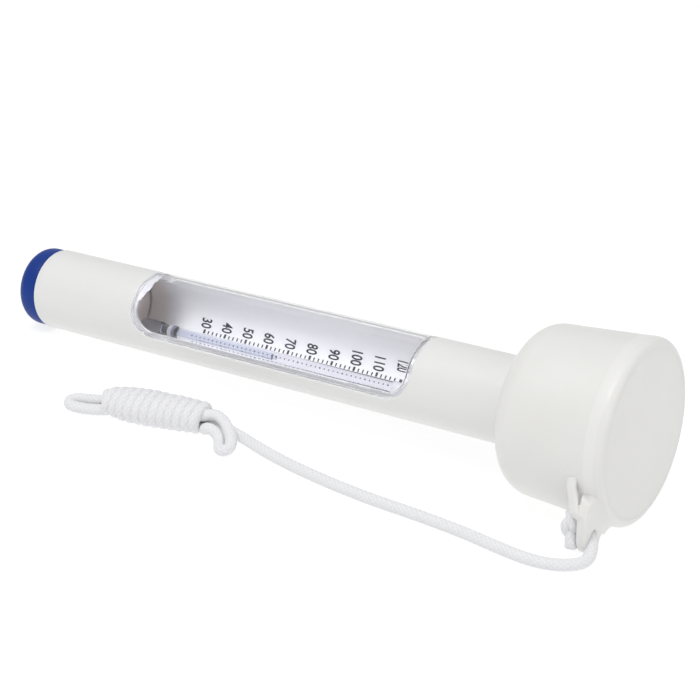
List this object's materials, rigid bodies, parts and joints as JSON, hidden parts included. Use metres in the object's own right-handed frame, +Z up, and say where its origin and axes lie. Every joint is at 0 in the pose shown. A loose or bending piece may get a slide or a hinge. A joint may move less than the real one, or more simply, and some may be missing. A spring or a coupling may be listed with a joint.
{
  "type": "floating pool thermometer",
  "caption": "Floating pool thermometer: slim white tube with a clear scale window, blue end cap, round float head with a tether ear, and a braided cord wound into a hank.",
  "frame": {"origin": "centre of the thermometer's bounding box at the surface it lies on, cord left out", "axes": "+X along the tube towards the float head, +Z up; the tube's axis is tilted 3.7 degrees up towards the head, because the wide head lifts that end"},
  "size_m": [0.2277, 0.0785, 0.0543],
  "materials": {
    "white_plastic": "smooth satin moulded plastic",
    "blue_plastic": "satin moulded plastic",
    "clear_plastic": "clear moulded plastic",
    "clear_adhesive": "clear sealant bead",
    "card_stock": "printed card behind the stem",
    "glass": "clear drawn glass",
    "blue_spirit": "coloured liquid",
    "dark_rubber": "dark sleeve",
    "carrier_plastic": "plain moulded plastic",
    "ballast_steel": "plain turned steel",
    "seal_rubber": "soft seal",
    "cord_fibre": "white braided synthetic cord"
  },
  "bodies": {
    "thermometer": {"end_cap": "blue_plastic", "end_cap_seal": "seal_rubber", "ballast_weight": "ballast_steel", "body_tube": "white_plastic", "window_lens": "clear_plastic", "lens_adhesive": "clear_adhesive", "scale_card": "card_stock", "lower_bulkhead": "carrier_plastic", "upper_bulkhead": "carrier_plastic", "glass_stem": "glass", "spirit_reservoir": "blue_spirit", "spirit_column": "blue_spirit", "stem_collar": "dark_rubber", "stem_clip": "clear_plastic", "tube_top_plug": "carrier_plastic", "float_joint_ring": "seal_rubber", "float_shell": "white_plastic", "float_lid": "white_plastic", "tether_cord": "cord_fibre", "tether_knot": "cord_fibre", "tether_turn": "cord_fibre", "tether_hank": "cord_fibre", "tether_end_loop": "cord_fibre"},
    "level": {"spirit_meniscus": "blue_spirit"}
  },
  "joints": [
    {"name": "spirit_level", "type": "slide", "parent": "thermometer", "child": "level", "axis": [0.9979, 0, 0.0653], "range_m": [-0.03314, 0.04237], "deforming": ["spirit_column"]}
  ]
}
